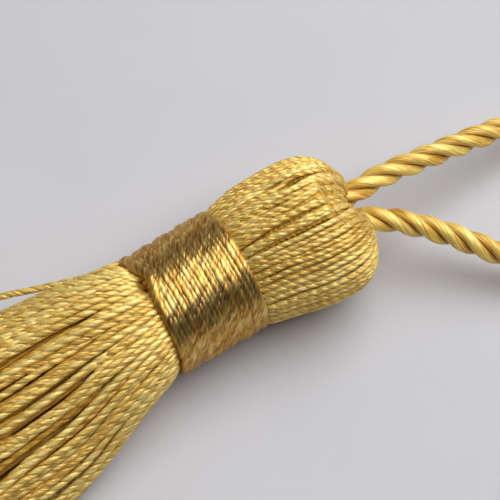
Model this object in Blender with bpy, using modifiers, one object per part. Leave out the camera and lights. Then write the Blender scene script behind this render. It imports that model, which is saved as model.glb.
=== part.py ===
"""Silk tassel lying on its side: a bundle of yarn strands, its neck binding and its cord loop.

Metres, +Z up. +X points from the skirt's tips to the head, and the tassel lies on the plane z = 0.
The sizes below are in millimetres.
"""

import math
import random

import bmesh
import bpy
from mathutils import Vector

MM = 0.001

# Places along X
HEAD_END_X = 47.15
HEAD_LENGTH = 10.95
BINDING_LENGTH = 7.6
BINDING_HEAD_X = HEAD_END_X - HEAD_LENGTH
BINDING_SKIRT_X = BINDING_HEAD_X - BINDING_LENGTH
ROOT_INSIDE_BINDING = 1.0
CENTRE_Y = -0.65

# Head: a ring of points for each row, from the roots of the strands to the floor of the dimple
# distance past the binding, radius, ridge height, sideways shift, height of the centre
HEAD_SECTIONS = (
    (ROOT_INSIDE_BINDING - BINDING_LENGTH, 4.40, 0.00, 0.00, 5.35),
    (0.30, 4.40, 0.00, -0.10, 5.60),
    (0.38, 5.05, 0.12, -0.10, 5.62),
    (1.20, 5.45, 0.26, -0.12, 5.66),
    (2.80, 5.78, 0.30, -0.16, 5.76),
    (4.70, 6.12, 0.30, -0.24, 5.85),
    (5.90, 6.27, 0.30, -0.30, 5.92),
    (7.20, 6.28, 0.30, -0.36, 5.94),
    (8.50, 6.02, 0.28, -0.42, 5.97),
    (9.50, 5.50, 0.26, -0.46, 6.02),
    (10.30, 4.65, 0.22, -0.50, 6.08),
    (10.75, 3.75, 0.16, -0.50, 6.10),
    (HEAD_LENGTH, 2.95, 0.08, -0.50, 6.10),
    (10.70, 2.50, 0.00, -0.50, 6.10),
    (10.30, 2.35, 0.00, -0.50, 6.10),
)

# The share of the head's radius, from its lowest point up, over which its ridges fade out
SMOOTH_UNDER = 0.15

# Skirt: the strands' sections, from round at the neck to a flat-bottomed heap on the floor
# distance past the binding, half width, height, height of the underside, heap share, sideways sway
SKIRT_SECTIONS = (
    (0.30, 4.40, 8.80, 0.95, 0.00, 0.00),
    (4.50, 6.15, 8.90, 0.45, 0.30, -0.10),
    (11.0, 7.75, 8.30, 0.00, 0.75, -0.30),
    (20.0, 9.10, 7.40, 0.00, 1.00, -0.60),
    (33.0, 10.3, 6.70, 0.00, 1.00, -0.90),
    (52.0, 11.2, 6.10, 0.00, 1.00, -1.00),
    (76.0, 11.6, 5.80, 0.00, 1.00, -0.60),
)
# The strands stand in upright columns; the outer columns hold fewer of them
COLUMNS = 21
ROWS = 8
LEAST_ROWS = 3
# The gap between strands at their roots, as a share of the neck's width
ROOT_GAP = 0.018
# Half the width of the round section that the columns fill, and how sharply its sides bulge
ROUND_SIDE = 0.91
BULGE_POWER = 8
# The share of its cell that a strand fills out in the skirt
STRAND_FILL = 0.74
# How far the heap's top falls towards its sides, and how sharply
HEAP_FALL = 0.62
HEAP_POWER = 2.4
# Unevenness: of each strand's line, and of the cut ends
STRAND_STRAY = 0.07
TIP_UNEVENNESS = 1.8
TIP_ROUNDING_UP = 1.4
TIP_ROUNDING_SIDE = 0.8
# The slow sideways wave of the whole skirt, its waves along the skirt and its lag across it
SWELL = 0.40
SWELL_WAVES = 0.9
SWELL_LAG = 2.5
# The sections by which the wave and the partings have grown to their full size
SWELL_RISE = 2.0
PARTINGS_OPEN = 5.0

# Partings between locks of the skirt: the column that follows each gap, and how wide it opens
PARTINGS = ((5, 0.7), (10, 0.5), (16, 0.9))

# The one strand that lies away from the others: how far it stands off at each section
STRAY_COLUMN = COLUMNS - 1
STRAY_OFFSETS = (0.0, 0.1, 0.6, 1.4, 2.2, 2.6, 2.2)

# Neck binding: turns of thread wound side by side
BINDING_TURNS = 16
BINDING_RADIUS = 5.20
BINDING_INSIDE = 4.70
THREAD_RIDGE = 0.14
BINDING_STEPS = 32
BINDING_CENTRE_Y = -0.05
BINDING_TILT = math.radians(-2.2)
BINDING_HEIGHT = 5.59

# Cord loop: three plies twisted to the right
CORD_DIAMETER = 1.90
CORD_PLIES = 3
CORD_TURN = 7.0
CORD_STEPS_A_TURN = 8
# Reach of the groove between two plies and of a ply's shoulders, as shares of the cord's radius
CORD_GROOVE = 0.62
CORD_SHOULDER = 0.97
ROUTE_PIECES = 12
# The route from the head's dimple, round the loop and back
CORD_ROUTE = (
    (46.90, 0.54, 6.12),
    (48.8, 0.68, 6.08),
    (51.3, 0.72, 5.90),
    (54.5, 0.50, 5.40),
    (58.0, 0.28, 4.72),
    (62.3, -0.08, 3.80),
    (68.0, -0.95, 2.45),
    (74.0, -2.35, 1.34),
    (79.6, -4.50, 1.02),
    (84.4, -7.70, 0.97),
    (87.6, -11.9, 0.97),
    (88.5, -16.6, 0.97),
    (86.2, -20.4, 0.97),
    (81.4, -22.0, 0.97),
    (75.6, -21.6, 0.98),
    (70.0, -19.7, 1.06),
    (64.8, -16.8, 1.42),
    (60.2, -13.3, 2.20),
    (55.9, -9.25, 3.40),
    (52.9, -6.00, 4.60),
    (49.9, -3.34, 5.62),
    (47.25, -1.62, 6.08),
)

SHARP_EDGE = math.radians(35.0)
SEED = 7


def material(name, colour, roughness):
    """A plain fibre finish."""
    made = bpy.data.materials.new(name)
    made.use_nodes = True
    shader = made.node_tree.nodes["Principled BSDF"]
    shader.inputs["Base Color"].default_value = (*colour, 1.0)
    shader.inputs["Roughness"].default_value = roughness
    shader.inputs["Metallic"].default_value = 0.0
    return made


def smooth_step(share):
    share = min(max(share, 0.0), 1.0)
    return share * share * (3.0 - 2.0 * share)


def dome(across):
    """The heap's height at a place across it, from 1 in the middle to its share at the edges."""
    return 1.0 - HEAP_FALL * abs(across) ** HEAP_POWER


def column_across(column):
    return (2.0 * column + 1.0) / COLUMNS - 1.0


def strands_in(column):
    return max(LEAST_ROWS, round(ROWS * dome(column_across(column))))


def strand_rows(column):
    """The grid rows that carry a strand in this column, spread evenly over the rows."""
    count = strands_in(column)
    return [int((place + 0.5) * ROWS / count) for place in range(count)]


def rim_direction(a, b):
    """The direction of a point on the grid's rim, evenly spaced round the head."""
    wide = math.pi * COLUMNS / (2.0 * (COLUMNS + ROWS))
    narrow = math.pi / 2.0 - wide
    column = round(a * COLUMNS)
    row = round(b * ROWS)
    if row == 0:
        angle = -math.pi / 2.0 + wide * (2.0 * a - 1.0)
    elif row == ROWS:
        angle = math.pi / 2.0 - wide * (2.0 * a - 1.0)
    elif column == 0:
        angle = math.pi - narrow * (2.0 * b - 1.0)
    else:
        angle = narrow * (2.0 * b - 1.0)
    return Vector((math.cos(angle), math.sin(angle)))


def in_round(a, b):
    """Spreads the grid over a unit disc with its columns upright and its sides left flat."""
    y = ROUND_SIDE * (2.0 * a - 1.0)
    return Vector((y, math.sqrt(1.0 - y * y) * (2.0 * b - 1.0)))


def in_root(a, b):
    """The same, with the flat sides bulged out to the disc's rim."""
    place = in_round(a, b)
    bulge = math.sqrt(1.0 - place.y * place.y) - ROUND_SIDE
    place.x += math.copysign(bulge, place.x) * abs(2.0 * a - 1.0) ** BULGE_POWER
    return place


def head_point(a, b, ring):
    """A point of the head: ridges lie along it, and a small flat spot rests on the floor."""
    distance, radius, ridge, shift, height = HEAD_SECTIONS[ring]
    if ring > 0:
        odd = (round(a * COLUMNS) + round(b * ROWS)) % 2
        place = rim_direction(a, b)
        radius -= ridge * odd * smooth_step((1.0 + place.y) / SMOOTH_UNDER)
    else:
        place = in_root(a, b)
    return Vector((
        BINDING_HEAD_X + distance,
        shift + radius * place.x,
        max(height + radius * place.y, 0.0),
    ))


def parting_shift(column):
    """How far the open partings push this column sideways."""
    total = 0.0
    for first, gap in PARTINGS:
        total += gap / 2.0 if column >= first else -gap / 2.0
    return total


def strand_point(a, b, section, chance):
    """A point of a strand's four-sided section, between the round neck and the heap on the floor."""
    distance, half_width, height, base, heap, sway = SKIRT_SECTIONS[section]
    column = min(int(a * COLUMNS), COLUMNS - 1)
    row = min(int(b * ROWS), ROWS - 1)
    side = 1.0 if a * COLUMNS - column > 0.5 else -1.0
    up = b * ROWS - row

    count = strands_in(column)
    place = strand_rows(column).index(row)
    round_place = in_round(a, (place + up) / count)
    round_y = half_width * round_place.x
    round_z = base + height * (round_place.y + 1.0) / 2.0

    across = column_across(column)
    pitch = height * dome(across) / count
    heap_y = half_width * (across + side * STRAND_FILL / COLUMNS)
    heap_y += parting_shift(column) * smooth_step(section / PARTINGS_OPEN)
    heap_z = base + pitch * (place + (STRAND_FILL if up > 0.5 else 0.0))

    share = section / (len(SKIRT_SECTIONS) - 1)
    swell = SWELL * smooth_step(section / SWELL_RISE) * math.sin(
        2.0 * math.pi * SWELL_WAVES * share + SWELL_LAG * across
    )
    y = round_y + heap * (heap_y - round_y) + sway + swell + heap * chance.strays_y[section]
    z = round_z + heap * (heap_z - round_z)
    lifted = (place + 0.5) / count
    z += heap * chance.strays_z[section] * (lifted if place > 0 else 0.0)
    x = BINDING_SKIRT_X - distance
    if section == len(SKIRT_SECTIONS) - 1:
        x += TIP_UNEVENNESS * chance.tip
        x += TIP_ROUNDING_UP * lifted + TIP_ROUNDING_SIDE * across * across
    if column == STRAY_COLUMN and place == count // 2:
        y += STRAY_OFFSETS[section]
    return Vector((x, y, z))


class StrandChance:
    """The seeded unevenness of one strand."""

    def __init__(self, column, row):
        source = random.Random(SEED + 100 * column + row)
        count = len(SKIRT_SECTIONS)
        self.strays_y = [source.uniform(-STRAND_STRAY, STRAND_STRAY) for _ in range(count)]
        self.strays_z = [source.uniform(-STRAND_STRAY, STRAND_STRAY) for _ in range(count)]
        self.strays_y[0] = 0.0
        self.strays_z[0] = 0.0
        self.tip = source.random()


def grow_strands(bm):
    """Insets the grid's strand cells and draws each one out, a section at a time."""
    cells = []
    for face in bm.faces:
        centre = face.calc_center_median()
        if int(centre.y * ROWS) in strand_rows(int(centre.x * COLUMNS)):
            cells.append(face)
    bmesh.ops.inset_individual(bm, faces=cells, thickness=ROOT_GAP / 2.0)
    for _ in SKIRT_SECTIONS:
        cells = bmesh.ops.extrude_discrete_faces(bm, faces=cells)["faces"]
        points = list({point for face in cells for point in face.verts})
        bmesh.ops.translate(bm, verts=points, vec=(0.0, 0.0, 1.0))


def grow_head(bm):
    """Draws the grid's rim out, a ring at a time, and closes the last one."""
    rim = [edge for edge in bm.edges if edge.is_boundary]
    for _ in HEAD_SECTIONS[1:]:
        drawn = bmesh.ops.extrude_edge_only(bm, edges=rim)["geom"]
        ring = {item for item in drawn if isinstance(item, bmesh.types.BMVert)}
        bmesh.ops.translate(bm, verts=list(ring), vec=(0.0, 0.0, -1.0))
        edges = [item for item in drawn if isinstance(item, bmesh.types.BMEdge)]
        rim = [edge for edge in edges if set(edge.verts) <= ring]
    bmesh.ops.edgeloop_fill(bm, edges=rim)


def place_bundle(bm):
    """Moves each point of the drawn-out grid to its place in the tassel."""
    chances = {}
    for point in bm.verts:
        a, b, section = point.co
        section = round(section)
        if section > 0:
            cell = (int(a * COLUMNS), int(b * ROWS))
            if cell not in chances:
                chances[cell] = StrandChance(*cell)
            placed = strand_point(a, b, section - 1, chances[cell])
        else:
            placed = head_point(a, b, -section)
        point.co = (placed + Vector((0.0, CENTRE_Y, 0.0))) * MM


def make_bundle(collection):
    """The yarn bundle: a grid whose cells become strands and whose rim becomes the head."""
    bm = bmesh.new()
    bmesh.ops.create_grid(bm, x_segments=COLUMNS, y_segments=ROWS, size=0.5)
    bmesh.ops.translate(bm, verts=bm.verts, vec=(0.5, 0.5, 0.0))
    grow_strands(bm)
    grow_head(bm)
    bmesh.ops.recalc_face_normals(bm, faces=bm.faces)
    place_bundle(bm)
    if bm.calc_volume(signed=True) < 0.0:
        bmesh.ops.reverse_faces(bm, faces=bm.faces)
    mesh = bpy.data.meshes.new("yarn_bundle")
    bm.to_mesh(mesh)
    bm.free()
    mesh.shade_smooth()
    mesh.set_sharp_from_angle(angle=SHARP_EDGE)
    mesh.materials.append(material("gold_yarn", (0.72, 0.48, 0.14), 0.45))
    made = bpy.data.objects.new("yarn_bundle", mesh)
    collection.objects.link(made)
    return made


def make_binding(collection):
    """The neck binding: a ribbed outline turned round the neck, a rib for each turn of thread."""
    outline = bpy.data.meshes.new("neck_binding")
    pitch = BINDING_LENGTH / BINDING_TURNS
    points = [(0.0, BINDING_INSIDE)]
    for turn in range(BINDING_TURNS):
        points.append((-turn * pitch, BINDING_RADIUS - THREAD_RIDGE))
        points.append((-(turn + 0.5) * pitch, BINDING_RADIUS))
    points.append((-BINDING_LENGTH, BINDING_RADIUS - THREAD_RIDGE))
    points.append((-BINDING_LENGTH, BINDING_INSIDE))
    count = len(points)
    outline.from_pydata(
        [(x * MM, 0.0, radius * MM) for x, radius in points],
        [(index, (index + 1) % count) for index in range(count)],
        [],
    )
    outline.materials.append(material("gold_thread", (0.68, 0.45, 0.13), 0.35))
    made = bpy.data.objects.new("neck_binding", outline)
    made.location = Vector((BINDING_HEAD_X, BINDING_CENTRE_Y + CENTRE_Y, BINDING_HEIGHT)) * MM
    made.rotation_euler = (0.0, BINDING_TILT, 0.0)
    screw = made.modifiers.new("wind", "SCREW")
    screw.axis = "X"
    screw.steps = BINDING_STEPS
    screw.render_steps = BINDING_STEPS
    screw.use_merge_vertices = True
    screw.merge_threshold = 0.00001
    screw.use_smooth_shade = True
    collection.objects.link(made)
    return made


def smooth_route(points):
    """A smooth curve through the route's points, as many short steps."""
    line = [Vector(point) for point in points]
    line = [2.0 * line[0] - line[1], *line, 2.0 * line[-1] - line[-2]]
    steps = []
    for before, start, end, after in zip(line, line[1:], line[2:], line[3:]):
        for piece in range(ROUTE_PIECES):
            t = piece / ROUTE_PIECES
            steps.append(
                0.5
                * (
                    2.0 * start
                    + (end - before) * t
                    + (2.0 * before - 5.0 * start + 4.0 * end - after) * t**2
                    + (3.0 * start - before - 3.0 * end + after) * t**3
                )
            )
    steps.append(line[-2])
    return steps


def evenly_spaced(steps, spacing):
    """Points an equal distance apart along a line of short steps, with both ends kept."""
    lengths = [0.0]
    for start, end in zip(steps, steps[1:]):
        lengths.append(lengths[-1] + (end - start).length)
    count = round(lengths[-1] / spacing)
    points = []
    place = 0
    for index in range(count + 1):
        wanted = lengths[-1] * index / count
        while place < len(steps) - 2 and lengths[place + 1] < wanted:
            place += 1
        share = (wanted - lengths[place]) / (lengths[place + 1] - lengths[place])
        points.append(steps[place].lerp(steps[place + 1], share))
    return points


def cord_outline(collection):
    """The cord's lobed section, one lobe for each ply."""
    curve = bpy.data.curves.new("cord_section", "CURVE")
    curve.dimensions = "2D"
    corners = []
    for ply in range(CORD_PLIES):
        for third, reach in enumerate((CORD_GROOVE, CORD_SHOULDER, CORD_SHOULDER)):
            angle = -2.0 * math.pi * (ply + third / 3.0) / CORD_PLIES
            radius = reach * CORD_DIAMETER / 2.0 * MM
            corners.append((radius * math.cos(angle), radius * math.sin(angle)))
    spline = curve.splines.new("POLY")
    spline.points.add(len(corners) - 1)
    for point, corner in zip(spline.points, corners):
        point.co = (*corner, 0.0, 1.0)
    spline.use_cyclic_u = True
    made = bpy.data.objects.new("cord_section", curve)
    made.hide_render = True
    made.display_type = "WIRE"
    collection.objects.link(made)
    return made


def make_cord(collection, helpers):
    """The cord loop: the lobed section swept along the route and turned as it goes."""
    curve = bpy.data.curves.new("cord_loop", "CURVE")
    curve.dimensions = "3D"
    curve.bevel_mode = "OBJECT"
    curve.bevel_object = cord_outline(helpers)
    curve.use_fill_caps = True
    points = evenly_spaced(smooth_route(CORD_ROUTE), CORD_TURN / CORD_STEPS_A_TURN)
    spline = curve.splines.new("POLY")
    spline.points.add(len(points) - 1)
    for index, (point, place) in enumerate(zip(spline.points, points)):
        point.co = (*((place + Vector((0.0, CENTRE_Y, 0.0))) * MM), 1.0)
        point.tilt = 2.0 * math.pi * index / CORD_STEPS_A_TURN
    curve.materials.append(material("gold_cord", (0.75, 0.52, 0.14), 0.4))
    made = bpy.data.objects.new("cord_loop", curve)
    collection.objects.link(made)
    return made


def clear_scene():
    for thing in list(bpy.data.objects):
        bpy.data.objects.remove(thing, do_unlink=True)


def main():
    clear_scene()
    pieces = bpy.data.collections.new("silk_tassel")
    helpers = bpy.data.collections.new("helpers")
    bpy.context.scene.collection.children.link(pieces)
    bpy.context.scene.collection.children.link(helpers)
    helpers.hide_render = True
    make_bundle(pieces)
    make_binding(pieces)
    make_cord(pieces, helpers)


main()
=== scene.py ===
"""Looks of the silk tassel: every yarn of its head and skirt, the wound neck binding and the cord loop.

Lengths below are in millimetres unless a name says otherwise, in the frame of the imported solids:
+X from the skirt's tips to the head, +Z up, and the tassel lies on z = 0.
"""

import math

import bpy
import numpy as np
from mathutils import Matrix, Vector


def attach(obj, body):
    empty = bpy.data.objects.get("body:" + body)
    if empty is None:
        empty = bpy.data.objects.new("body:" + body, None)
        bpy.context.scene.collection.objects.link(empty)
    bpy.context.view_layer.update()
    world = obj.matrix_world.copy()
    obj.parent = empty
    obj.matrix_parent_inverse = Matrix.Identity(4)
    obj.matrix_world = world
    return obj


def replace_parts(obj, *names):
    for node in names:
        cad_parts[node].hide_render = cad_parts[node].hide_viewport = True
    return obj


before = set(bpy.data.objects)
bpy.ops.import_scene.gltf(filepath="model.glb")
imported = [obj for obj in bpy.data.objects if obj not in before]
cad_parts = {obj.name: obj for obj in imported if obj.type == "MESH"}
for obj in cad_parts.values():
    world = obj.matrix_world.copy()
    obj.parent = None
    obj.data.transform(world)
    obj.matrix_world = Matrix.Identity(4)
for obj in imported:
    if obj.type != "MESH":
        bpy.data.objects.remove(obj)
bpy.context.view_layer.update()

MM = 0.001
SEED = 11
UP = np.array([[0.0, 0.0, 1.0]])

# Places, as in the solids
HEAD_END_X = 47.15
HEAD_LENGTH = 10.95
BINDING_LENGTH = 7.6
BINDING_HEAD_X = HEAD_END_X - HEAD_LENGTH
BINDING_SKIRT_X = BINDING_HEAD_X - BINDING_LENGTH
CENTRE_Y = -0.65

# Two-ply yarn: the grooves between its plies are shares of its radius deep and these radians wide
YARN_DIAMETER = 0.58
YARN_TURN = 2.4
YARN_CORNERS = 12
PLY_GROOVE = 0.25
GROOVE_WIDTH = 0.30
# How far an outline's corners crowd towards the grooves, in radians
CORNER_CROWDING = 0.2

# A strand's far end is closed down to this share of its outline, and its UVs go on by this length
END_SHARE = 0.05
END_LENGTH = 0.1


# ---------------------------------------------------------------- helpers


def smooth_step(share):
    share = np.clip(share, 0.0, 1.0)
    return share * share * (3.0 - 2.0 * share)


def smooth_column(places, values, wanted):
    """A smooth curve through a table's column, without overshoot."""
    places = np.asarray(places, float)
    values = np.asarray(values, float)
    steps = np.diff(values) / np.diff(places)
    slopes = np.zeros_like(values)
    slopes[0] = steps[0]
    slopes[-1] = steps[-1]
    for index in range(1, len(values) - 1):
        if steps[index - 1] * steps[index] > 0.0:
            slopes[index] = 2.0 / (1.0 / steps[index - 1] + 1.0 / steps[index])
    wanted = np.asarray(wanted, float)
    cell = np.clip(np.searchsorted(places, wanted) - 1, 0, len(places) - 2)
    width = places[cell + 1] - places[cell]
    t = (wanted - places[cell]) / width
    outside = t > 1.0
    before = t < 0.0
    h00 = 2.0 * t**3 - 3.0 * t**2 + 1.0
    h10 = t**3 - 2.0 * t**2 + t
    h01 = -2.0 * t**3 + 3.0 * t**2
    h11 = t**3 - t**2
    inside = (
        h00 * values[cell]
        + h10 * width * slopes[cell]
        + h01 * values[cell + 1]
        + h11 * width * slopes[cell + 1]
    )
    beyond = values[-1] + (wanted - places[-1]) * slopes[-1]
    ahead = values[0] + (wanted - places[0]) * slopes[0]
    return np.where(outside, beyond, np.where(before, ahead, inside))


def smooth_route(points, pieces):
    """A smooth curve through given points, as many short steps."""
    points = np.asarray(points, float)
    line = np.vstack([2.0 * points[0] - points[1], points, 2.0 * points[-1] - points[-2]])
    steps = []
    for index in range(1, len(line) - 2):
        before, start, end, after = line[index - 1 : index + 3]
        for piece in range(pieces):
            t = piece / pieces
            steps.append(
                0.5
                * (
                    2.0 * start
                    + (end - before) * t
                    + (2.0 * before - 5.0 * start + 4.0 * end - after) * t**2
                    + (3.0 * start - before - 3.0 * end + after) * t**3
                )
            )
    steps.append(points[-1])
    return np.array(steps)


def along(points):
    """The distance of each point of a line from its start."""
    return np.concatenate([[0.0], np.cumsum(np.linalg.norm(np.diff(points, axis=0), axis=1))])


def evenly_spaced(points, spacing):
    """The same line with points an equal distance apart."""
    lengths = along(points)
    count = max(2, int(round(lengths[-1] / spacing)) + 1)
    wanted = np.linspace(0.0, lengths[-1], count)
    return np.stack([np.interp(wanted, lengths, points[:, axis]) for axis in range(3)], axis=1)


def wander(source, places, wave, size):
    """Smooth random values along a line: a new one about every wave."""
    count = int((places[-1] - places[0]) / wave) + 3
    values = source.normal(0.0, size, count)
    place = (places - places[0]) / wave + source.uniform(0.0, 1.0)
    cell = place.astype(int)
    share = smooth_step(place - cell)
    return values[cell] * (1.0 - share) + values[cell + 1] * share


def angle_between(angle, other):
    """The angle from other to angle, from -pi to pi."""
    return (angle - other + math.pi) % (2.0 * math.pi) - math.pi


def unit(vectors):
    return vectors / np.maximum(np.linalg.norm(vectors, axis=-1, keepdims=True), 1e-12)


def frames(points, reference):
    """The side and upward directions along a line. Up follows reference."""
    tangent = unit(np.gradient(points, axis=0))
    up = unit(reference - np.sum(reference * tangent, axis=1, keepdims=True) * tangent)
    return np.cross(tangent, up), up


def round_outline(corners, diameter):
    angle = 2.0 * np.pi * np.arange(corners) / corners
    return np.stack([diameter / 2.0 * np.cos(angle), diameter / 2.0 * np.sin(angle)], axis=1)


def ply_outline(corners, diameter, groove=PLY_GROOVE):
    """The outline of two soft plies pressed together: round, with a narrow groove on both sides."""
    share = np.arange(corners) / corners
    angle = 2.0 * np.pi * share + CORNER_CROWDING * np.sin(4.0 * np.pi * share)
    from_groove = np.abs(np.abs(angle - np.pi) - np.pi / 2.0)
    reach = diameter / 2.0 * (1.0 - groove * np.exp(-((from_groove / GROOVE_WIDTH) ** 2)))
    return np.stack([reach * np.cos(angle), reach * np.sin(angle)], axis=1)


class Strands:
    """Collects swept strands into one mesh, with lengthwise UVs and a tone for each strand."""

    def __init__(self):
        self.points = []
        self.faces = []
        self.uvs = []
        self.tones = []
        self.count = 0

    def sweep(self, line, reference, outline, turn=None, phase=0.0, tone=0.5, scale=None):
        """Sweeps an outline along a line, turned once every turn millimetres to the right.

        The UVs run round the strand from 0 to 1, and along it in millimetres.
        """
        side, up = frames(line, reference)
        distance = along(line)
        twist = phase + (2.0 * np.pi * distance / turn if turn else np.zeros(len(line)))
        cos, sin = np.cos(twist)[:, None], np.sin(twist)[:, None]
        across = outline[:, 0][None, :]
        over = outline[:, 1][None, :]
        first = across * cos - over * sin
        second = across * sin + over * cos
        if scale is not None:
            first = first * scale[:, None]
            second = second * scale[:, None]
        ring = (
            line[:, None, :]
            + first[..., None] * up[:, None, :]
            + second[..., None] * side[:, None, :]
        )
        closing = line[-1] + END_SHARE * (ring[-1:] - line[-1])
        ring = np.concatenate([ring, closing])
        distance = np.append(distance, distance[-1] + END_LENGTH)
        rows, corners = len(ring), len(outline)

        row = np.arange(rows - 1)[:, None]
        corner = np.arange(corners)[None, :]
        following = (corner + 1) % corners
        a = self.count + row * corners + corner
        b = self.count + row * corners + following
        c = self.count + (row + 1) * corners + following
        d = self.count + (row + 1) * corners + corner
        u0 = np.broadcast_to(corner / corners, a.shape)
        u1 = np.broadcast_to((corner + 1) / corners, a.shape)
        v0 = np.broadcast_to(distance[:-1][:, None], a.shape)
        v1 = np.broadcast_to(distance[1:][:, None], a.shape)
        corner_uvs = [np.stack(pair, -1) for pair in ((u0, v1), (u1, v1), (u1, v0), (u0, v0))]

        self.points.append(ring.reshape(-1, 3))
        self.faces.append(np.stack([d, c, b, a], axis=-1).reshape(-1, 4))
        self.uvs.append(np.stack(corner_uvs, axis=-2).reshape(-1, 2))
        self.tones.append(np.full(rows * corners, tone))
        self.count += rows * corners

    def build(self, name, material, slot):
        """The mesh object, riding on the tassel's body."""
        points = np.concatenate(self.points) * MM
        faces = np.concatenate(self.faces)
        mesh = bpy.data.meshes.new(name)
        mesh.vertices.add(len(points))
        mesh.vertices.foreach_set("co", points.astype(np.float32).ravel())
        mesh.loops.add(faces.size)
        mesh.loops.foreach_set("vertex_index", faces.astype(np.int32).ravel())
        mesh.polygons.add(len(faces))
        mesh.polygons.foreach_set("loop_start", np.arange(0, faces.size, 4, dtype=np.int32))
        mesh.update(calc_edges=True)
        layer = mesh.uv_layers.new(name="strand")
        layer.data.foreach_set("uv", np.concatenate(self.uvs).astype(np.float32).ravel())
        tone = mesh.attributes.new("tone", "FLOAT", "POINT")
        tone.data.foreach_set("value", np.concatenate(self.tones).astype(np.float32))
        mesh.shade_smooth()
        mesh.materials.append(material)
        made = bpy.data.objects.new(name, mesh)
        bpy.context.scene.collection.objects.link(made)
        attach(made, "root")
        return made


# ---------------------------------------------------------------- materials

# A silk's colour is this much its filaments' and this much its strand's tone
FIBRE_SHARE = 0.80
TONE_SHARE = 0.14
# Where its dark, middle and light colours lie in that sum
COLOUR_PLACES = (0.34, 0.47, 0.62)
# How far apart two strands' tones set their noise
TONE_SHIFT = 173.0
# The painted shade between two plies, as shares of the dark colour
GROOVE_SHADE_SHARES = (0.55, 0.50, 0.45)
ROUGHNESS_RANGE = (0.85, 1.2)
# The noise that breaks the sheen into dashes, against the filaments' noise round the strand
DASH_WIDTH = 0.6
BUMP_STRENGTH = 0.8


def fill(tree, socket, value):
    """Links another node's output to a socket, or sets the socket's value."""
    if isinstance(value, bpy.types.NodeSocket):
        tree.links.new(value, socket)
    else:
        socket.default_value = value


def node(tree, kind, output, values, **settings):
    """A new node with its settings and inputs. Returns one of its outputs."""
    made = tree.nodes.new("ShaderNode" + kind)
    for name, value in settings.items():
        setattr(made, name, value)
    for place, value in values.items():
        fill(tree, made.inputs[place], value)
    return made.outputs[output]


def calculate(tree, operation, *values):
    return node(tree, "Math", 0, dict(enumerate(values)), operation=operation)


def colour_ramp(tree, value, stops):
    """Colours by value, through stops of a place and a colour."""
    made = tree.nodes.new("ShaderNodeValToRGB")
    elements = made.color_ramp.elements
    for index, (place, colour) in enumerate(stops):
        if index == len(elements):
            elements.new(place)
        elements[index].position = place
        elements[index].color = (*colour, 1.0)
    fill(tree, made.inputs["Fac"], value)
    return made.outputs["Color"]


def silk(
    name, dark, middle, light, edge, metallic, roughness, glaze, filaments, streak, dash, relief,
    grooves, shade, narrow,
):
    """Silk fibre: a sheen that spreads across the filaments, streaks along them and a tone by strand.

    dark, middle and light are its filaments' colours, and edge tints its sheen.
    glaze is the weight of the paler sheen over it.
    filaments is how many lie round a strand, streak and dash how often they change along it, and relief
    how far they rise, in millimetres.
    grooves is how many grooves lie between the plies, shade how dark the painted shade in them is and narrow
    how narrow.
    """
    made = bpy.data.materials.new(name)
    made.use_nodes = True
    tree = made.node_tree
    shader = tree.nodes["Principled BSDF"]
    place = node(tree, "UVMap", "UV", {}, uv_map="strand")
    tone = node(tree, "Attribute", "Fac", {}, attribute_name="tone")

    # Filaments: fine noise, drawn out along the strand and shifted by each strand's tone
    stretched = node(tree, "Mapping", "Vector", {"Vector": place, "Scale": (filaments, streak, 1.0)})
    shift = node(tree, "CombineXYZ", "Vector", {"Z": calculate(tree, "MULTIPLY", tone, TONE_SHIFT)})
    moved = node(tree, "VectorMath", "Vector", {0: stretched, 1: shift}, operation="ADD")
    noise = {"Vector": moved, "Scale": 1.0, "Detail": 2.0, "Roughness": 0.6}
    fibre = node(tree, "TexNoise", "Fac", noise)

    # Colour: dark, middle and light gold by filament and by strand
    toned = calculate(tree, "MULTIPLY", tone, TONE_SHARE)
    weight = calculate(tree, "MULTIPLY_ADD", fibre, FIBRE_SHARE, toned)
    gold = colour_ramp(tree, weight, zip(COLOUR_PLACES, (dark, middle, light)))

    # Painted shade: the grooves between two plies are darkened, as shade that falls there
    round_strand = node(tree, "SeparateXYZ", "X", {"Vector": place})
    turned = calculate(tree, "MULTIPLY", round_strand, 2.0 * math.pi * grooves)
    wave = calculate(tree, "COSINE", turned)
    toward_groove = node(tree, "MapRange", "Result", {"Value": wave, "From Min": 1.0, "From Max": -1.0})
    groove_shade_weight = calculate(tree, "MULTIPLY", calculate(tree, "POWER", toward_groove, narrow), shade)
    deep = tuple(share * part for share, part in zip(GROOVE_SHADE_SHARES, dark)) + (1.0,)
    gold_with_groove_shade = node(tree, "Mix", "Result", {"Factor": groove_shade_weight, "A": gold, "B": deep}, data_type="RGBA")

    # Roughness follows the filaments a little
    least, most = (roughness * share for share in ROUGHNESS_RANGE)
    rough = node(tree, "MapRange", "Result", {"Value": fibre, "To Min": least, "To Max": most})

    # Filaments rise and fall along the strand, which breaks its sheen into dashes
    finer = node(tree, "VectorMath", "Vector", {0: moved, 1: (DASH_WIDTH, dash, 1.0)}, operation="MULTIPLY")
    dashes = node(tree, "TexNoise", "Fac", {"Vector": finer, "Scale": 1.0, "Detail": 1.0})
    height = calculate(tree, "ADD", fibre, dashes)
    bump = {"Height": height, "Strength": BUMP_STRENGTH, "Distance": relief * MM}
    normal = node(tree, "Bump", "Normal", bump)
    across = node(tree, "Tangent", "Tangent", {}, direction_type="UV_MAP", uv_map="strand")

    finish = {
        "Base Color": gold_with_groove_shade,
        "Roughness": rough,
        "Normal": normal,
        "Tangent": across,
        "Anisotropic": 0.75,
        "Metallic": metallic,
        "IOR": 1.6,
        "Coat Weight": glaze,
        "Coat Roughness": 0.45,
        "Specular IOR Level": 0.9,
        "Specular Tint": (*edge, 1.0),
    }
    for socket, value in finish.items():
        fill(tree, shader.inputs[socket], value)
    return made


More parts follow.
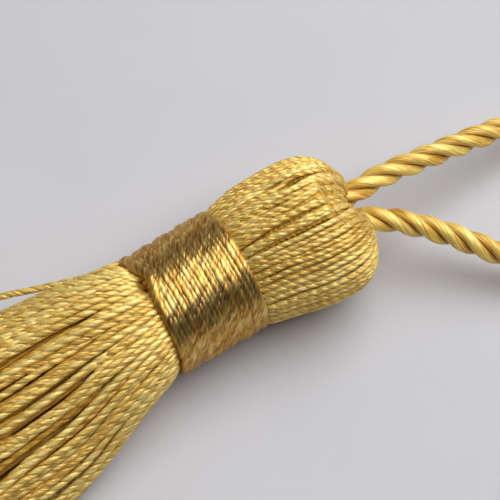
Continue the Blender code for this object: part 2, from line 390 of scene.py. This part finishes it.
yarn_silk = silk(
    "yarn_silk",
    dark=(0.55, 0.27, 0.020),
    middle=(0.93, 0.63, 0.135),
    light=(0.98, 0.79, 0.31),
    edge=(1.0, 0.93, 0.76),
    metallic=0.50,
    roughness=0.51,
    glaze=0.20,
    filaments=11.0,
    streak=0.8,
    dash=1.6,
    relief=0.045,
    grooves=2,
    shade=0.55,
    narrow=5.0,
)
# Painted shade: a darker, duller silk for the yarns under the outer ones and for the head's core, as shade
# among them
shaded_inner_silk = silk(
    "shaded_inner_silk",
    dark=(0.44, 0.195, 0.012),
    middle=(0.68, 0.375, 0.046),
    light=(0.84, 0.56, 0.13),
    edge=(0.95, 0.70, 0.35),
    metallic=0.30,
    roughness=0.60,
    glaze=0.0,
    filaments=11.0,
    streak=0.8,
    dash=1.6,
    relief=0.045,
    grooves=2,
    shade=0.0,
    narrow=5.0,
)
binding_silk = silk(
    "binding_silk",
    dark=(0.30, 0.115, 0.004),
    middle=(0.59, 0.330, 0.050),
    light=(0.83, 0.63, 0.24),
    edge=(0.86, 0.60, 0.27),
    metallic=0.87,
    roughness=0.365,
    glaze=0.62,
    filaments=12.0,
    streak=0.7,
    dash=1.3,
    relief=0.05,
    grooves=2,
    shade=0.40,
    narrow=5.0,
)
cord_silk = silk(
    "cord_silk",
    dark=(0.58, 0.25, 0.014),
    middle=(1.0, 0.65, 0.11),
    light=(1.0, 0.80, 0.26),
    edge=(1.0, 0.93, 0.76),
    metallic=0.32,
    roughness=0.45,
    glaze=0.28,
    filaments=20.0,
    streak=0.45,
    dash=2.0,
    relief=0.12,
    grooves=1,
    shade=0.95,
    narrow=1.5,
)


# ---------------------------------------------------------------- skirt

# The binding's last turns are drawn off the skirt's edge here, over a hollow. Angles are from the top
# towards -Y, and the depths are those of the last turn and of the two before it
NOTCH_ANGLE = math.radians(-11.0)
NOTCH_WIDTH = math.radians(15.0)
NOTCH_DEPTHS = (0.46, 0.24, 0.08)
HOLLOW_WIDTH = math.radians(8.0)
HOLLOW_DEPTH = 0.30
HOLLOW_LENGTH = 0.46
# How far inside the binding the hollow's middle lies
HOLLOW_START = 0.10

# distance past the binding, half width, height, height of the underside, heap share, sideways sway
SKIRT_SECTIONS = np.array(
    [
        (-7.0, 4.55, 9.10, 1.00, 0.00, 0.00),
        (0.00, 4.75, 9.50, 0.60, 0.00, 0.00),
        (1.20, 5.30, 10.05, 0.35, 0.04, -0.03),
        (4.50, 6.25, 10.25, 0.20, 0.25, -0.10),
        (11.0, 7.75, 9.70, 0.00, 0.75, -0.25),
        (20.0, 8.95, 8.60, 0.00, 1.00, -0.42),
        (33.0, 10.3, 7.20, 0.00, 1.00, -0.80),
        (52.0, 11.3, 6.15, 0.00, 1.00, -1.00),
        (76.0, 11.7, 5.85, 0.00, 1.00, -0.60),
    ]
)
SKIRT_LENGTH = 76.0
NECK_RADIUS = 4.5
RINGS = 10
YARN_SPACING = 0.47
# The yarns start this far inside the binding
YARN_START = -2.0
# Their steps are short as far as this
FINE_LENGTH = 19.0
# Their ends are uneven by this, and the top ones are shorter by this
END_SPREAD = 1.8
TOP_SHORTER = 1.4
# The heap's crown falls off to its sides by this share and power. The last value draws its sides out
HEAP_FALL = 0.62
HEAP_POWER = 2.4
SIDE_SOFTNESS = 0.83

# A yarn is free to leave its place past this length. Its shift and sag are shares of the skirt's half size
FREE_LENGTH = 14.0
YARN_SHIFT = 0.03
SAG_WAVE = 7.0
SAG = 0.022
# Sideways wander: the length it grows over, its wave and its size
YARN_WANDERS = ((FREE_LENGTH, 9.0, 0.022), (4.0, 3.5, 0.007))

# The yarns under the outer ones are raised, but lose these shares of it along the skirt and on its -Y side
RAISE_LOSS = 0.85
RAISE_LOSS_NEAR = 0.75
# The outer yarns lie deeper by up to this, in waves that go on by this angle from yarn to yarn
SUNK = 0.09
SUNK_STEP = 2.4

# Where the skirt parts, from -1 to 1 across it, and how wide
PARTINGS = ((-0.48, 0.7), (-0.02, 0.5), (0.55, 0.9))
PARTING_LENGTH = 52.0
# Locks that the yarns gather in: how many to the unit of width, how strongly, where
LOCKS = ((2.3, 0.22, 0.4), (3.9, 0.26, 2.1), (6.3, 0.36, 5.0), (10.7, 0.26, 1.3))
# How far the locks sway as they run along the skirt, as an angle, and over which length
LOCK_SWAY = 0.35
LOCK_LENGTH = 11.0
# How the whole skirt swells sideways: how far, the length it grows over, waves along it and across it
SWELL = 0.40
SWELL_LENGTH = 11.0
SWELL_WAVES = 0.9
SWELL_ACROSS = 2.5

STRAY_ROUTE = (
    (30.4, 4.55, 6.20),
    (28.6, 4.95, 6.30),
    (27.3, 5.18, 6.20),
    (25.9, 5.45, 6.00),
    (23.9, 6.23, 5.60),
    (21.6, 7.17, 5.20),
    (19.3, 8.08, 4.90),
    (14.0, 9.80, 3.90),
    (5.0, 11.8, 2.00),
    (-5.0, 13.1, 0.75),
    (-20.0, 13.5, 0.32),
    (-34.0, 13.0, 0.32),
    (-45.5, 12.4, 0.32),
)
STRAY_TONE = 0.7


def skirt_line(q, angle, places, source, raised, sunk):
    """The centreline of one skirt yarn.

    q is its share of the neck's radius and angle its direction there, from +Y over the top.
    raised and sunk move it outwards and inwards, as shares too.
    """
    half_width, height, base, heap, sway = (
        smooth_column(SKIRT_SECTIONS[:, 0], SKIRT_SECTIONS[:, k], places) for k in range(1, 6)
    )
    heap = np.clip(heap, 0.0, 1.0)
    half_width = half_width - YARN_DIAMETER / 2.0
    height = height - YARN_DIAMETER
    base = base + YARN_DIAMETER / 2.0

    # Each yarn wanders a little about its place, more as it gets further from the neck
    freedom = smooth_step(places / FREE_LENGTH)
    drift = freedom * source.normal(0.0, YARN_SHIFT)
    for length, wave, size in YARN_WANDERS:
        drift = drift + smooth_step(places / length) * wander(source, places, wave, size)

    near_side = smooth_step((-math.cos(angle) - 0.25) / 0.45)
    kept = 1.0 - RAISE_LOSS * smooth_step((places - 7.0) / 10.0)
    q = q + raised * heap * kept * (1.0 - RAISE_LOSS_NEAR * near_side)
    q = q - sunk * smooth_step((places - 1.5) / 7.0)
    from_notch = angle_between(angle - math.pi / 2.0, NOTCH_ANGLE)
    hollow = math.exp(-((from_notch / HOLLOW_WIDTH) ** 2))
    hollow = hollow * np.exp(-(((places + HOLLOW_START) / HOLLOW_LENGTH) ** 2))
    q = q * (1.0 - HOLLOW_DEPTH * hollow)
    u = q * np.cos(angle) + drift
    v = q * np.sin(angle)

    # The yarns gather in locks past the neck
    gather = smooth_step((places - 3.0) / 15.0)
    for waves, strength, start in LOCKS:
        turn = 2.0 * np.pi * waves
        lock = turn * u + start + LOCK_SWAY * np.sin(places / LOCK_LENGTH + start)
        u = u + gather * strength / turn * np.sin(lock)
    u = np.clip(u, -1.0, 1.0)
    v = v - freedom * np.abs(wander(source, places, SAG_WAVE, SAG))

    # From the round neck the bundle turns into a flat heap with partings
    upright = np.clip(v / np.sqrt(1.0 - SIDE_SOFTNESS * u * u), -1.0, 1.0)
    dome = 1.0 - HEAP_FALL * np.abs(u) ** HEAP_POWER
    round_z = base + height * (v + 1.0) / 2.0
    heap_z = base + height * dome * (upright + 1.0) / 2.0
    parting = sum(gap / 2.0 * np.sign(u - first) for first, gap in PARTINGS)
    share = np.clip(places / SKIRT_LENGTH, 0.0, 1.0)
    wave = np.sin(2.0 * np.pi * SWELL_WAVES * share + SWELL_ACROSS * u)
    swell = SWELL * smooth_step(places / SWELL_LENGTH) * wave
    y = half_width * u + heap * parting * smooth_step(places / PARTING_LENGTH) + sway + swell
    z = round_z + heap * (heap_z - round_z)
    return np.stack([BINDING_SKIRT_X - places, y + CENTRE_Y, z], axis=1)


def skirt_places(end, fine, coarse):
    """Distances along the skirt: short steps near the binding and longer ones beyond."""
    near = np.arange(YARN_START, FINE_LENGTH, fine)
    far = np.arange(FINE_LENGTH, end, coarse)
    return np.concatenate([near, far, [end]])


def make_skirt():
    """All the skirt's yarns: the outer ones as two plies, the hidden ones plainer and darker, as painted
    shade.
    """
    source = np.random.default_rng(SEED)
    two_ply = ply_outline(YARN_CORNERS, YARN_DIAMETER)
    plainer = ply_outline(8, YARN_DIAMETER)
    plain = round_outline(6, 0.9 * YARN_DIAMETER)
    outer_a, outer_b, second, third, inner = (Strands() for _ in range(5))
    # By ring from the outside: pieces, short and long steps, how far raised, outline, turn, share of the tone
    layers = (
        # The inner rings' lower share of the tone darkens them more: painted shade among the yarns
        ((outer_a, outer_b), 0.20, 0.42, 0.0, two_ply, YARN_TURN, 1.0),
        ((second,), 0.30, 0.55, 0.085, plainer, YARN_TURN, 1.0),
        ((third,), 0.35, 1.2, 0.10, plainer, YARN_TURN, 0.8),
        ((inner,), 1.0, 2.2, 0.06, plain, None, 0.6),
        ((inner,), 1.0, 2.2, 0.0, plain, None, 0.6),
    )
    for ring in range(RINGS):
        pieces, fine, coarse, raised, outline, turn, toned = layers[min(ring, len(layers) - 1)]
        q = 1.0 - ring / (RINGS - 0.4)
        radius = q * NECK_RADIUS
        count = max(1, int(round(2.0 * math.pi * radius / YARN_SPACING)))
        for index in range(count):
            place = index + 0.5 * (ring % 2) + source.uniform(-0.22, 0.22)
            angle = 2.0 * math.pi * place / count
            tone = source.uniform(0.0, 1.0)
            phase = source.uniform(0.0, 2.0 * math.pi)
            lifted = (math.sin(angle) * q + 1.0) / 2.0
            end = SKIRT_LENGTH - source.uniform(0.0, END_SPREAD) - TOP_SHORTER * lifted
            sunk = SUNK * (0.5 + 0.5 * math.sin(SUNK_STEP * index)) ** 2 if ring == 0 else 0.0
            line = skirt_line(q, angle, skirt_places(end, fine, coarse), source, raised, sunk)
            strands = pieces[index % len(pieces)]
            strands.sweep(line, UP, outline, turn, phase if turn else 0.0, toned * tone)
    stray = evenly_spaced(smooth_route(STRAY_ROUTE, 24), 0.22) + np.array([0.0, CENTRE_Y, 0.0])
    outer_a.sweep(stray, UP, two_ply, YARN_TURN, 0.0, STRAY_TONE)
    return [
        outer_a.build("skirt_yarns_outer_a", yarn_silk, "gold_yarn"),
        outer_b.build("skirt_yarns_outer_b", yarn_silk, "gold_yarn"),
        second.build("skirt_yarns_second", yarn_silk, "gold_yarn"),
        third.build("skirt_yarns_third", shaded_inner_silk, "gold_yarn"),
        inner.build("skirt_yarns_inner", shaded_inner_silk, "gold_yarn"),
    ]


# ---------------------------------------------------------------- head

# distance past the binding, outer radius, sideways shift, height of the centre
HEAD_SECTIONS = np.array(
    [
        (-3.0, 4.60, 0.00, 5.50),
        (-0.4, 4.75, -0.08, 5.58),
        (0.60, 5.30, -0.11, 5.63),
        (1.40, 5.52, -0.12, 5.67),
        (2.80, 5.82, -0.16, 5.76),
        (4.70, 6.10, -0.38, 5.83),
        (6.00, 6.22, -0.50, 5.90),
        (7.20, 6.24, -0.58, 5.92),
        (8.50, 6.05, -0.66, 5.95),
        (9.50, 5.56, -0.70, 6.00),
        (10.25, 4.70, -0.74, 6.05),
        (10.75, 3.75, -0.74, 6.05),
        (10.90, 2.90, -0.74, 6.05),
        (10.60, 2.30, -0.74, 6.05),
        (9.80, 2.05, -0.74, 6.05),
        (8.80, 2.00, -0.74, 6.05),
    ]
)
# How many of these sections lie before the dimple
OUTER_SECTIONS = 12

HEAD_YARNS = 112
HEAD_YARN_DIAMETER = 0.46
HEAD_YARN_TURN = 1.7
HEAD_PLY_GROOVE = 0.27
UNDER_YARNS = 84
UNDER_YARN_DIAMETER = 0.52
UNDER_SINK = 0.36
# How far a yarn bends and wanders aside, in radians
HEAD_BEND = 0.028
HEAD_WANDER = 0.015
# Every other yarn lies this much deeper, and each one by up to the second amount
DEEPER = 0.12
UNEVEN = 0.06
# How early and deep the yarns dive at the dimple, from one to the next
DIVES = (0.0, 0.32, 0.16)

# The notch in the rim above the cord: its angle is from the top towards -Y
RIM_NOTCH_ANGLE = math.radians(8.0)
RIM_NOTCH_WIDTH = math.radians(21.0)
RIM_NOTCH_ALONG = 1.00
RIM_NOTCH_INWARD = 0.70

# The head's parting: its ends' distance past the binding and angle from the top towards +Y, its depth,
# its half width and that of the yarns that it pushes aside, in radians, and how far it pushes them
HEAD_PARTING_PLACES = (3.65, 7.05)
HEAD_PARTING_ANGLES = (math.radians(32.0), math.radians(22.0))
HEAD_PARTING_DEPTH = 0.30
HEAD_PARTING_WIDTH = 0.06
PUSHED_WIDTH = 0.16
PUSH = 0.03

# The core runs from inside the binding to short of the dimple, this far under the yarns, and narrows there
CORE_PLACES = (-6.0, 9.3)
CORE_INSET = 0.95
CORE_NARROWS = 0.9


def head_profile(spacing):
    """Evenly spaced rows like those of HEAD_SECTIONS, after their distances along the head's outline."""
    reach = along(HEAD_SECTIONS[:, :2])
    dense = np.linspace(0.0, reach[-1], 400)
    rows = np.stack([smooth_column(reach, HEAD_SECTIONS[:, k], dense) for k in range(4)], axis=1)
    lengths = along(rows[:, :2])
    wanted = np.linspace(0.0, lengths[-1], int(lengths[-1] / spacing) + 1)
    return wanted, np.stack([np.interp(wanted, lengths, rows[:, k]) for k in range(4)], axis=1)


def head_place(rows, radius, angle):
    """Points at that radius and angle round the head, from +Y over the top."""
    x = BINDING_HEAD_X + rows[:, 0]
    y = rows[:, 2] + radius * np.cos(angle) + CENTRE_Y
    z = rows[:, 3] + radius * np.sin(angle)
    return np.stack([x, y, z], axis=1)


def head_layer(source, count, sink, spacing, outline, tones):
    """One layer of the head's yarns, from the binding over the shoulder into the dimple."""
    strands = Strands()
    distance, rows = head_profile(spacing)
    share = distance / distance[-1]
    start, end = HEAD_PARTING_PLACES
    first, last = HEAD_PARTING_ANGLES
    along_parting = (rows[:, 0] - start) / (end - start)
    parting = first + (last - first) * np.clip(along_parting, 0.0, 1.0)
    open_share = smooth_step(along_parting + 0.5) * smooth_step(1.6 - along_parting)
    for index in range(count):
        angle = 2.0 * math.pi * (index + source.uniform(-0.2, 0.2)) / count
        bend = np.sin(np.pi * share) * source.normal(0.0, HEAD_BEND)
        bend = bend + smooth_step(distance / 2.0) * wander(source, distance, 4.0, HEAD_WANDER)
        # The parting on the head's upper side pushes its neighbours apart and down
        beside = angle_between(angle - math.pi / 2.0, -parting)
        away = beside / np.sqrt(beside**2 + PUSH**2)
        bend = bend + open_share * PUSH * away * np.exp(-((beside / PUSHED_WIDTH) ** 2))
        drop = open_share * HEAD_PARTING_DEPTH * np.exp(-((beside / HEAD_PARTING_WIDTH) ** 2))
        # The notch in the rim draws the yarns in where the cord leaves
        to_notch = angle_between(angle - math.pi / 2.0, RIM_NOTCH_ANGLE)
        notch = math.exp(-((to_notch / RIM_NOTCH_WIDTH) ** 2)) * smooth_step((distance - 10.6) / 2.0)
        drop = drop + RIM_NOTCH_INWARD * notch * np.exp(-(((distance - 12.6) / 1.6) ** 2))
        depth = sink + HEAD_YARN_DIAMETER / 2.0 + DEEPER * (index % 2) + source.uniform(0.0, UNEVEN)
        turned = angle + bend
        line = head_place(rows, np.maximum(rows[:, 1] - depth - drop, 0.3), turned)
        dive = sink + DIVES[index % 3]
        line[:, 0] -= smooth_step((distance - distance[-1] * (0.80 - 0.12 * dive)) / 1.6) * dive
        line[:, 0] -= RIM_NOTCH_ALONG * notch
        # No yarn goes below the surface
        line[:, 2] = np.maximum(line[:, 2], HEAD_YARN_DIAMETER * 0.5)
        reference = np.stack([np.zeros(len(rows)), np.cos(turned), np.sin(turned)], axis=1)
        phase = source.uniform(0.0, 6.3)
        strands.sweep(line, reference, outline, HEAD_YARN_TURN, phase, source.uniform(*tones))
    return strands


def head_core():
    """A plain body inside the head's yarns, dark as painted shade."""
    places = np.linspace(*CORE_PLACES, 30)
    outside = HEAD_SECTIONS[:OUTER_SECTIONS]
    radius, shift, height = (np.interp(places, outside[:, 0], outside[:, k]) for k in range(1, 4))
    radius = radius - CORE_INSET - CORE_NARROWS * smooth_step((places - 6.8) / 2.2)
    radius[-1] = 0.2
    line = np.stack([BINDING_HEAD_X + places, shift + CENTRE_Y, height], axis=1)
    core = Strands()
    core.sweep(line, UP, round_outline(40, 2.0), scale=radius, tone=0.0)
    return core


def make_head():
    """The head's yarns in two layers, on a plain core."""
    source = np.random.default_rng(SEED + 1)
    outline = ply_outline(8, HEAD_YARN_DIAMETER, HEAD_PLY_GROOVE)
    yarns = head_layer(source, HEAD_YARNS, 0.0, 0.24, outline, (0.0, 1.0))
    outline = round_outline(6, UNDER_YARN_DIAMETER)
    # The under layer's lower tones and shaded inner silk are painted shade under the outer yarns
    under = head_layer(source, UNDER_YARNS, UNDER_SINK, 0.45, outline, (0.0, 0.6))
    return [
        yarns.build("head_yarns", yarn_silk, "gold_yarn"),
        under.build("head_yarns_under", shaded_inner_silk, "gold_yarn"),
        head_core().build("head_core", shaded_inner_silk, "gold_yarn"),
    ]


# ---------------------------------------------------------------- neck binding

BINDING_TURNS = 21
BINDING_TOP = 5.24
# The winding's first turn lies this far over the head's edge, and it is this long
WOUND_START = 0.10
WOUND_LENGTH = 7.60
TURN_STEPS = 112
# The neck's centre at the head's edge, and how steeply it rises towards the head
NECK_SHIFT = -0.05
NECK_CENTRE_Z = 5.59
NECK_SLOPE = math.tan(math.radians(2.2))
THREAD_WIDTH = 0.78
THREAD_TURN = 3.1
THREAD_GROOVE = 0.09
THREAD_SWELLING = 0.09
# How the thread strays along the neck and outwards: waves in turns, and sizes
THREAD_TRAVELS = ((0.24, 0.045), (0.07, 0.010))
THREAD_LIFTS = ((0.14, 0.045), (0.06, 0.016))
# How far the last turn stands off over the hollow, and how deep the thread's two ends are tucked in
LAST_LIFT = 0.32
TUCKED = 0.5
TUCKED_TURNS = 0.12


def binding_line(turns, source):
    """The winding's angle, travel and lift from underneath, its turns side by side and a little uneven."""
    turn = np.linspace(0.0, turns, int(TURN_STEPS * turns) + 1)
    angle = np.pi + 2.0 * np.pi * turn
    travel = WOUND_START - turn / turns * WOUND_LENGTH
    first, second = (wander(source, turn, *values) for values in THREAD_TRAVELS)
    travel = travel + first + second
    first, second = (wander(source, turn, *values) for values in THREAD_LIFTS)
    lift = first + second
    # The last turns lie off the skirt's edge for a short way, over a dark hollow
    nearness = np.exp(-((angle_between(angle, NOTCH_ANGLE) / NOTCH_WIDTH) ** 2))
    last = np.clip((turns - turn).astype(int), 0, len(NOTCH_DEPTHS))
    travel = travel + np.array(NOTCH_DEPTHS + (0.0,))[last] * nearness
    lift = lift + LAST_LIFT * nearness * (last == 0)
    ends = smooth_step(turn / TUCKED_TURNS) * smooth_step((turns - turn) / TUCKED_TURNS)
    return angle, travel, lift - TUCKED * (1.0 - ends)


def binding_place(angle, travel, radius):
    """Points round the neck. Angle 0 is up, and it grows towards -Y."""
    x = BINDING_HEAD_X + travel
    y = NECK_SHIFT - radius * np.sin(angle) + CENTRE_Y
    z = NECK_CENTRE_Z + travel * NECK_SLOPE + radius * np.cos(angle)
    return np.stack([x, y, z], axis=1)


def make_binding():
    """The wound thread, as two plies."""
    source = np.random.default_rng(SEED + 2)
    angle, travel, lift = binding_line(BINDING_TURNS, source)
    line = binding_place(angle, travel, BINDING_TOP - 0.45 * THREAD_WIDTH + lift)
    reference = np.stack([np.zeros_like(angle), -np.sin(angle), np.cos(angle)], axis=1)
    swollen = 1.0 + wander(source, angle, 0.9, THREAD_SWELLING)
    outline = ply_outline(14, THREAD_WIDTH, THREAD_GROOVE)
    strands = Strands()
    strands.sweep(line, reference, outline, THREAD_TURN, scale=swollen)
    return strands.build("binding_turns", binding_silk, "gold_thread")


# ---------------------------------------------------------------- cord loop

CORD_DIAMETER = 1.90
CORD_TURN = 6.9
# The cord's plies are this much fuller than the solid's, and each is this share of the touching size
CORD_FULLNESS = 1.10
PLY_SHARE = 0.955
# The cord's radius, and its plies' distance from its centre, in radii of a ply: three that touch
CORD_BY_PLY = 2.1547
REACH_BY_PLY = 1.1547
# The cord lies this far towards -Y of the solid's and, off the surface, this much lower
CORD_ASIDE = 0.22
CORD_LOWER = 0.05
# The route as in the solids, before CENTRE_Y is added
CORD_ROUTE = (
    (46.90, 0.54, 6.12),
    (48.8, 0.68, 6.08),
    (51.3, 0.72, 5.90),
    (54.5, 0.50, 5.40),
    (58.0, 0.28, 4.72),
    (62.3, -0.08, 3.80),
    (68.0, -0.95, 2.45),
    (74.0, -2.35, 1.34),
    (79.6, -4.50, 1.02),
    (84.4, -7.70, 0.97),
    (87.6, -11.9, 0.97),
    (88.5, -16.6, 0.97),
    (86.2, -20.4, 0.97),
    (81.4, -22.0, 0.97),
    (75.6, -21.6, 0.98),
    (70.0, -19.7, 1.06),
    (64.8, -16.8, 1.42),
    (60.2, -13.3, 2.20),
    (55.9, -9.25, 3.40),
    (52.9, -6.00, 4.60),
    (49.9, -3.34, 5.62),
    (47.25, -1.62, 6.08),
)


def make_cord():
    """Three plies twisted to the right along the route."""
    radius = CORD_DIAMETER * CORD_FULLNESS / 2.0
    route = smooth_route(CORD_ROUTE, 12)
    route[:, 1] += CENTRE_Y - CORD_ASIDE
    route[:, 2] -= CORD_LOWER * smooth_step((route[:, 2] - 1.2) / 2.0)
    route[:, 2] = np.maximum(route[:, 2], radius)
    line = evenly_spaced(route, 0.22)
    distance = along(line)
    ply_radius = radius / CORD_BY_PLY
    outline = round_outline(18, 2.0 * PLY_SHARE * ply_radius)
    side, up = frames(line, UP)
    strands = Strands()
    for ply in range(3):
        angle = 2.0 * np.pi * (distance / CORD_TURN + ply / 3.0)
        outward = np.cos(angle)[:, None] * up + np.sin(angle)[:, None] * side
        centre = line + ply_radius * REACH_BY_PLY * outward
        strands.sweep(centre, outward, outline, tone=0.3 + 0.2 * ply)
    made = strands.build("cord_loop_plies", cord_silk, "gold_cord")
    return made


# ---------------------------------------------------------------- camera, floor and light

# The camera looks down on the tassel from the skirt's side. The angles are degrees
CAMERA_AZIMUTH = -32.0
CAMERA_ELEVATION = 66.0
CAMERA_TARGET = (38.13, -0.18, 6.24)
CAMERA_DISTANCE = 220.0
FRAME_WIDTH = 40.0
SENSOR = 36.0
CLIP_METRES = (0.01, 10.0)

# Half the floor's side, and how far it lies below the tassel
FLOOR_REACH_METRES = 1.2
FLOOR_DROP_METRES = 0.00002
FLOOR_COLOURS = ((0.3, (0.538, 0.509, 0.511)), (0.7, (0.566, 0.536, 0.540)))

# What the lights face
NECK = (36.0, 0.0, 3.0)
# The room's light is brightest opposite the viewer
ROOM_STRENGTH = 0.19
ROOM_COLOUR = (1.0, 0.97, 0.93, 1.0)


def make_camera():
    """The photo's camera, without depth of field."""
    azimuth, elevation = math.radians(CAMERA_AZIMUTH), math.radians(CAMERA_ELEVATION)
    level = math.cos(elevation)
    back = Vector((math.sin(azimuth) * level, -math.cos(azimuth) * level, math.sin(elevation)))
    data = bpy.data.cameras.new("camera")
    data.sensor_width = SENSOR
    data.lens = SENSOR * CAMERA_DISTANCE / FRAME_WIDTH
    data.clip_start, data.clip_end = CLIP_METRES
    made = bpy.data.objects.new("camera", data)
    made.location = (Vector(CAMERA_TARGET) + back * CAMERA_DISTANCE) * MM
    made.rotation_mode = "QUATERNION"
    made.rotation_quaternion = (-back).to_track_quat("-Z", "Y")
    bpy.context.scene.collection.objects.link(made)
    bpy.context.scene.camera = made


def make_floor():
    """A plain pale surface under the tassel."""
    reach = FLOOR_REACH_METRES
    corners = [(-reach, -reach, 0.0), (reach, -reach, 0.0), (reach, reach, 0.0), (-reach, reach, 0.0)]
    mesh = bpy.data.meshes.new("floor")
    mesh.from_pydata(corners, [], [(0, 1, 2, 3)])
    made = bpy.data.objects.new("floor", mesh)
    made.location = (0.0, 0.0, -FLOOR_DROP_METRES)
    finish = bpy.data.materials.new("pale_surface")
    finish.use_nodes = True
    tree = finish.node_tree
    place = node(tree, "TexCoord", "Object", {})
    cloud = node(tree, "TexNoise", "Fac", {"Vector": place, "Scale": 45.0, "Detail": 3.0})
    inputs = tree.nodes["Principled BSDF"].inputs
    fill(tree, inputs["Base Color"], colour_ramp(tree, cloud, FLOOR_COLOURS))
    fill(tree, inputs["Roughness"], 0.55)
    fill(tree, inputs["Specular IOR Level"], 0.3)
    mesh.materials.append(finish)
    bpy.context.scene.collection.objects.link(made)


def area_light(name, direction, distance, width, height, radiance, colour):
    """A soft rectangle of light that faces the tassel's neck. Its width is level."""
    data = bpy.data.lights.new(name, "AREA")
    data.shape = "RECTANGLE"
    data.size = width * MM
    data.size_y = height * MM
    data.energy = radiance * math.pi * width * height * MM * MM
    data.color = colour
    made = bpy.data.objects.new(name, data)
    towards = Vector(direction).normalized()
    made.location = (Vector(NECK) + towards * distance) * MM
    made.rotation_mode = "QUATERNION"
    made.rotation_quaternion = towards.to_track_quat("Z", "Y")
    bpy.context.scene.collection.objects.link(made)


def make_light():
    """A wide window beyond the cord's side, a dimmer ceiling, and a room darker towards the viewer."""
    area_light("window", (0.52, 0.01, 0.855), 450.0, 500.0, 450.0, 4.06, (0.94, 1.0, 1.06))
    area_light("ceiling", (-0.12, 0.0, 0.98), 600.0, 440.0, 700.0, 0.50, (1.05, 1.0, 0.93))
    world = bpy.data.worlds.new("room")
    bpy.context.scene.world = world
    world.use_nodes = True
    tree = world.node_tree
    place = node(tree, "TexCoord", "Generated", {})
    away = node(tree, "SeparateXYZ", "Y", {"Vector": place})
    span = {"Value": away, "From Min": -1.0, "From Max": 1.0, "To Min": 0.0, "To Max": ROOM_STRENGTH}
    sky = tree.nodes["Background"].inputs
    fill(tree, sky["Color"], ROOM_COLOUR)
    fill(tree, sky["Strength"], node(tree, "MapRange", "Result", span))


make_camera()
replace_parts(make_cord(), "cord_loop")
for piece in make_skirt() + make_head():
    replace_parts(piece, "yarn_bundle")
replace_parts(make_binding(), "neck_binding")
make_floor()
make_light()

bpy.context.scene.view_settings.view_transform = "Standard"
